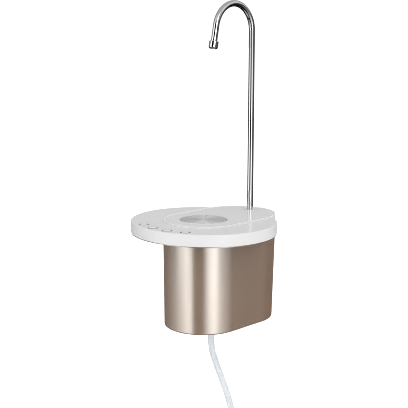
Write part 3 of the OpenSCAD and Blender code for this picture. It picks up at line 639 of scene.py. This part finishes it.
# ---------------------------------------------------------------- base
base = make("base_plate", *skin([oblong_ring(body_at(0) - 5.3 - d, z, 72, rear_at(0)) for d, z in wall(0.6, 2.2, 0.4, 0)]))
steps = [("UNION", make("base_step", *skin([oblong_ring(body_at(0) - 3.3, z, 72, rear_at(0)) for z in (2.05, 4.0)]))),
         ("UNION", block("base_shelf", (-9, 86, 3.9), (9, 104, 11.9))),
         ("DIFFERENCE", block("base_shelf_well", (-7, 88, 5), (7, 102, 14))),
         ("DIFFERENCE", flared_down("base_neck_hole", NECK_R + 3.3, 9, 0.6, 0.5, n=128))]
for i, p in enumerate(BASE_PTS):
    steps.append(("DIFFERENCE", rod(f"base_hole_{i}", 1.7, -1, 7, p, 24)))
    steps.append(("DIFFERENCE", flared_down(f"base_sink_{i}", 3.2, 1.8, 0.6, 0.2, p, 40)))
combine(base, steps)
dress(base, "dark_plastic")
weighted(base)
place(base, "base", "dark_plastic", "base_cover")

# ---------------------------------------------------------------- neck socket
n0, n1, top = NECK_R, NECK_R + 3, NECK_DEPTH + 2.95
profile = ([(0, NECK_DEPTH), (n0 - 0.8, NECK_DEPTH)] + arc(n0 - 0.8, NECK_DEPTH - 0.8, 0.8, 90, 0, 5) + [(n0, 0.5)] + arc(n0 + 0.5, 0.5, 0.5, 180, 270, 4)
           + arc(n1 - 0.6, 0.6, 0.6, -90, 0, 4) + [(n1, 4.05), (n1 + 1.7, 4.05), (n1 + 2, 4.35), (n1 + 2, 6.25), (n1 + 1.7, 6.55), (n1, 6.55), (n1, top), (0, top)])
socket = make("neck_socket", *turned(profile, 128, closed=False))
combine(socket, [("DIFFERENCE", rod("nipple_hole", 3.0, NECK_DEPTH - 2, top + 2, (0, 14), 40)),
                 ("DIFFERENCE", rod("vent_hole", 1.2, NECK_DEPTH - 2, top + 2, (0, -12), 24))])
dress(socket, "natural_plastic")
weighted(socket)
place(socket, "base", "natural_plastic", "neck_adapter")

lo_z, hi_z, ro, ri = NECK_DEPTH - 2.5, NECK_DEPTH - 0.05, NECK_R - 0.3, 20.5
profile = arc(ro - 0.5, lo_z + 0.5, 0.5, -90, 0, 4) + arc(ro - 0.3, hi_z - 0.3, 0.3, 0, 90, 3) + arc(ri + 0.3, hi_z - 0.3, 0.3, 90, 180, 3) + arc(ri + 0.5, lo_z + 0.5, 0.5, 180, 270, 4)
for r in (21.6, 22.9, 25.6, 26.7):
    profile += [(r - 0.3, lo_z), (r - 0.12, lo_z + 0.3), (r + 0.12, lo_z + 0.3), (r + 0.3, lo_z)]
seal = make("seal_ring", *turned(profile, 128))
dress(seal, "silicone_white")
place(seal, "base", "silicone_white", "neck_seal")

# ---------------------------------------------------------------- spout
profile = ([(TUBE_R + 0.06, ROOF_Z + 0.02), (4.45, ROOF_Z + 0.02), (4.45, DECK_Z + 0.02), (4.82, DECK_Z + 0.02), (4.9, DECK_Z + 0.1)]
           + arc(4.9 - 0.22, DECK_Z + 0.6, 0.22, 0, 90, 6) + [(TUBE_R + 0.25, DECK_Z + 0.82), (TUBE_R + 0.1, DECK_Z + 0.76), (TUBE_R + 0.06, DECK_Z + 0.62)])
collar = make("foot_ring", *turned(profile, 96, (0, SPOUT_Y)))
dress(collar, "silicone_white")
place(collar, "base", "silicone_white", "spout_collar")

bend_y = SPOUT_Y - BEND_R
ang = math.radians(BEND_ANGLE)
end = Vector((0, bend_y + BEND_R * math.cos(ang), BEND_Z + BEND_R * math.sin(ang)))
down = Vector((0, -math.sin(ang), math.cos(ang)))
tip = end + down * LEG
line = [(0, SPOUT_Y, z) for z in (97, 101, 118, 135, 140, 180, 220, 260, 300, 340, BEND_Z - 4)]
line += [(0, bend_y + BEND_R * math.cos(math.radians(t)), BEND_Z + BEND_R * math.sin(math.radians(t))) for t in [BEND_ANGLE * k / 72 for k in range(73)]]
line += [tuple(end + down * s) for s in (4, 12, 20, LEG - 3.6)]
tube = make("gooseneck", *pipe(line, TUBE_R, TUBE_RI, 56, 0.1))
dress(tube, "stainless")
place(tube, "spout", "stainless", "spout_tube")

lean = Matrix.Translation(tip) @ Matrix.Rotation(-math.radians(180 - BEND_ANGLE), 4, "X")
nr = NOZZLE_R
profile = ([(2.8, 0.7), (2.8, 0.12), (2.92, 0.0), (nr - 1.45, 0.0), (nr - 1.2, 0.1)] + [(nr - 0.12, 1.36)] + arc(nr - 0.5, 1.75, 0.5, -38, 0, 4)
           + [(nr, 6.9), (nr - 0.14, 7.0), (nr - 0.14, 7.25), (nr, 7.35), (nr, 8.8)] + arc(nr - 0.6, 8.9, 0.6, 0, 90, 6)
           + [(TUBE_R + 0.1, 9.5), (TUBE_R + 0.03, 9.42), (TUBE_R + 0.03, 3.55), (3.3, 3.55), (3.3, 0.7)])
nozzle = make("nozzle_cap", *turned(profile, 96, frame_of=lean))
dress(nozzle, "stainless")
place(nozzle, "spout", "stainless", "spout_nozzle")

# ---------------------------------------------------------------- floor and light
n = 96
floor = make("floor", *skin([[(r * 1000 * math.cos(2 * math.pi * k / n), r * 1000 * math.sin(2 * math.pi * k / n), -345.0) for k in range(n)] for r in (40.0, 20.0, 8.0, 4.0, 2.0, 1.0, 0.4)], caps=False))
bm = bmesh.new()
bm.from_mesh(floor.data)
bmesh.ops.holes_fill(bm, edges=[e for e in bm.edges if e.is_boundary and e.verts[0].co.xy.length < 1.0])
for f in bm.faces:
    if f.normal.z < 0:
        f.normal_flip()
bm.to_mesh(floor.data)
bm.free()
m, nt, b = material("floor_white")
nt.links.new(two_tone(nt, noise(nt, coords(nt), 6.0, 3.0), (0.86, 0.86, 0.86), (0.88, 0.88, 0.88)), b.inputs["Base Color"])
b.inputs["Roughness"].default_value = 0.9
b.inputs["Specular IOR Level"].default_value = 0.0
b.inputs["Emission Color"].default_value = (1, 1, 1, 1)
b.inputs["Emission Strength"].default_value = 0.3
floor.data.materials.append(m)
floor.visible_glossy = False

world = bpy.data.worlds.new("studio")
scene.world = world
world.use_nodes = True
nt = world.node_tree
nt.nodes.clear()
toward = Vector((0.68780, -0.72588, 0.0))
right = Vector((0.725923, 0.687776, 0.0))
tc = node(nt, "ShaderNodeTexCoord")


def along(axis):
    d = node(nt, "ShaderNodeVectorMath", operation="DOT_PRODUCT")
    d.inputs[1].default_value = axis
    nt.links.new(tc.outputs["Generated"], d.inputs[0])
    return d.outputs["Value"]


turn = node(nt, "ShaderNodeMath", operation="ARCTAN2")
nt.links.new(along(right), turn.inputs[0])
nt.links.new(along(toward), turn.inputs[1])
pos = node(nt, "ShaderNodeMapRange")
pos.inputs["From Min"].default_value, pos.inputs["From Max"].default_value = -math.pi, math.pi
nt.links.new(turn.outputs["Value"], pos.inputs["Value"])


def ramp(value, stops, lo, hi):
    r = node(nt, "ShaderNodeValToRGB")
    e = r.color_ramp.elements
    while len(e) < len(stops):
        e.new(0.5)
    for i, (at, v) in enumerate(stops):
        e[i].position = (at - lo) / (hi - lo)
        e[i].color = (v, v, v, 1) if not isinstance(v, tuple) else (*v, 1)
    nt.links.new(value, r.inputs["Fac"])
    return r.outputs["Color"]


height = node(nt, "ShaderNodeMapRange")
height.inputs["From Min"].default_value, height.inputs["From Max"].default_value = -1, 1
nt.links.new(along((0, 0, 1)), height.inputs["Value"])

def warm(v):
    return v, 0.995 * v, 0.962 * v


# Each light: its strength, its profile across (degrees, 0 faces the view, + is to the right) and its profile up (-1 down, 1 up).
LIGHTS = {
    # tall soft boxes as the body sees them
    "low_left": (2.9, [(-180, 0.0), (-160, 0.03), (-133, 0.05), (-115, 0.1), (-92, 0.23), (-75, 0.38), (-61, 0.6), (-52, 0.84), (-45, 1.0), (-34, 1.0), (-29, 0.0), (180, 0.0)],
                 [(-1, 0.0), (-0.8, 0.0), (-0.6, warm(0.3)), (-0.34, warm(0.6)), (-0.26, warm(0.8)), (-0.2, warm(1.0)), (-0.19, 0.0), (1, 0.0)]),
    "low_right": (3.1, [(-180, 0.0), (-1, 0.01), (6, 0.25), (14, 0.6), (22, 0.9), (29, 1.0), (37, 1.0), (45, 0.7), (53, 0.48), (64, 0.32), (78, 0.17), (90, 0.05), (105, 0.0), (180, 0.0)],
                  [(-1, 0.0), (-0.8, 0.0), (-0.6, warm(0.3)), (-0.34, warm(0.6)), (-0.26, warm(0.8)), (-0.2, warm(1.0)), (-0.19, 0.0), (1, 0.0)]),
    "low_gap": (0.27, [(-180, 0.0), (-38, 0.0), (-30, 1.0), (-10, 1.0), (0, 0.0), (180, 0.0)],
                [(-1, 0.0), (-0.8, 0.0), (-0.4, 0.0), (-0.28, (0.2, 0.17, 0.05)), (-0.24, (0.55, 0.47, 0.15)), (-0.2, (1.0, 0.86, 0.27)), (-0.19, 0.0), (1, 0.0)]),
    # the same boxes, harder, as the gooseneck sees them
    "mid_left": (2.6, [(-180, 0.0), (-84, 0.0), (-78, 0.5), (-74, 1.0), (-46, 1.0), (-41, 0.0), (180, 0.0)], [(-1, 0.0), (-0.2, 0.0), (-0.19, 1.0), (-0.1, 0.95), (-0.06, 0.78), (-0.02, 0.58), (0.08, 0.5), (0.11, 0.0), (1, 0.0)]),
    "mid_right": (3.0, [(-180, 0.0), (5, 0.0), (10, 1.0), (38, 1.0), (43, 0.0), (180, 0.0)], [(-1, 0.0), (-0.2, 0.0), (-0.19, 1.0), (-0.1, 0.95), (-0.06, 0.78), (-0.02, 0.58), (0.08, 0.5), (0.11, 0.0), (1, 0.0)]),
    "mid_gap": (0.22, [(-180, 0.0), (-46, 0.0), (-40, 1.0), (4, 1.0), (10, 0.0), (180, 0.0)], [(-1, 0.0), (-0.09, 0.0), (-0.04, 1.0), (0.1, 1.0), (0.15, 0.0), (1, 0.0)]),
    "mid_side": (0.155, [(-180, 0.7), (-84, 0.6), (-78, 0.0), (43, 0.0), (46, 1.0), (76, 1.0), (90, 0.7), (180, 0.7)], [(-1, 0.0), (-0.2, 0.0), (-0.19, 1.0), (0.08, 1.0), (0.11, 0.0), (1, 0.0)]),
    # their upper ends
    "high_left": (2.6, [(-180, 0.0), (-84, 0.0), (-74, 1.0), (-50, 1.0), (-43, 0.0), (180, 0.0)], [(-1, 0.0), (0.08, 0.0), (0.11, 1.0), (0.3, 1.0), (0.5, 0.5), (0.75, 0.0), (1, 0.0)]),
    "high_right": (5.2, [(-180, 0.0), (3, 0.0), (9, 1.0), (36, 1.0), (44, 0.0), (180, 0.0)], [(-1, 0.0), (0.08, 0.0), (0.11, 1.0), (0.3, 1.0), (0.5, 0.5), (0.75, 0.0), (1, 0.0)]),
    # white wall behind
    "back": (0.48, [(-180, 1.0), (-150, 1.0), (-130, 0.0), (130, 0.0), (150, 1.0), (180, 1.0)], [(-1, 0.0), (-0.06, 0.0), (-0.02, 1.0), (0.45, 1.0), (0.7, 0.3), (0.85, 0.0), (1, 0.0)]),
    # soft light from both sides and from above
    "right": (1.12, [(-180, 0.0), (50, 0.0), (70, 1.0), (120, 1.0), (140, 0.0), (180, 0.0)], [(-1, 0.0), (0.1, 0.0), (0.2, 1.0), (0.6, 1.0), (0.8, 0.0), (1, 0.0)]),
    "left": (0.5, [(-180, 0.0), (-140, 0.0), (-120, 1.0), (-85, 1.0), (-70, 0.0), (180, 0.0)], [(-1, 0.0), (0.1, 0.0), (0.2, 1.0), (0.6, 1.0), (0.8, 0.0), (1, 0.0)]),
    "front": (0.5, [(-180, 0.0), (-75, 0.0), (-55, 1.0), (55, 1.0), (75, 0.0), (180, 0.0)], [(-1, 0.0), (0.45, 0.0), (0.56, 1.0), (0.8, 1.0), (0.92, 0.0), (1, 0.0)]),
    "above": (1.33, [(-180, 1.0), (180, 1.0)], [(-1, 0.0), (0.4, 0.0), (0.7, 0.7), (1, 1.0)]),
    "dim": (0.0, [(-180, 1.0), (180, 1.0)], [(-1, 1.0), (1, 1.0)]),
}
total = None
for name, (strength, across, upward) in LIGHTS.items():
    lit = node(nt, "ShaderNodeMix", data_type="RGBA", blend_type="MULTIPLY")
    lit.inputs["Factor"].default_value = 1.0
    nt.links.new(ramp(pos.outputs["Result"], across, -180, 180), lit.inputs["A"])
    nt.links.new(ramp(height.outputs["Result"], upward, -1, 1), lit.inputs["B"])
    part = node(nt, "ShaderNodeVectorMath", operation="SCALE", name=name)
    part.inputs["Scale"].default_value = strength
    nt.links.new(lit.outputs["Result"], part.inputs[0])
    if total is not None:
        both = node(nt, "ShaderNodeVectorMath", operation="ADD")
        nt.links.new(total, both.inputs[0])
        nt.links.new(part.outputs["Vector"], both.inputs[1])
        total = both.outputs["Vector"]
    else:
        total = part.outputs["Vector"]
studio = node(nt, "ShaderNodeBackground")
nt.links.new(total, studio.inputs["Color"])
white = node(nt, "ShaderNodeBackground")
white.inputs["Color"].default_value = (1, 1, 1, 1)
white.inputs["Strength"].default_value = 1.1
seen = node(nt, "ShaderNodeLightPath")
mix = node(nt, "ShaderNodeMixShader")
nt.links.new(seen.outputs["Is Camera Ray"], mix.inputs["Fac"])
nt.links.new(studio.outputs["Background"], mix.inputs[1])
nt.links.new(white.outputs["Background"], mix.inputs[2])
out = node(nt, "ShaderNodeOutputWorld")
nt.links.new(mix.outputs["Shader"], out.inputs["Surface"])

scene.view_settings.view_transform = "Standard"
scene.view_settings.look = "None"
scene.cycles.filter_width = 1.0
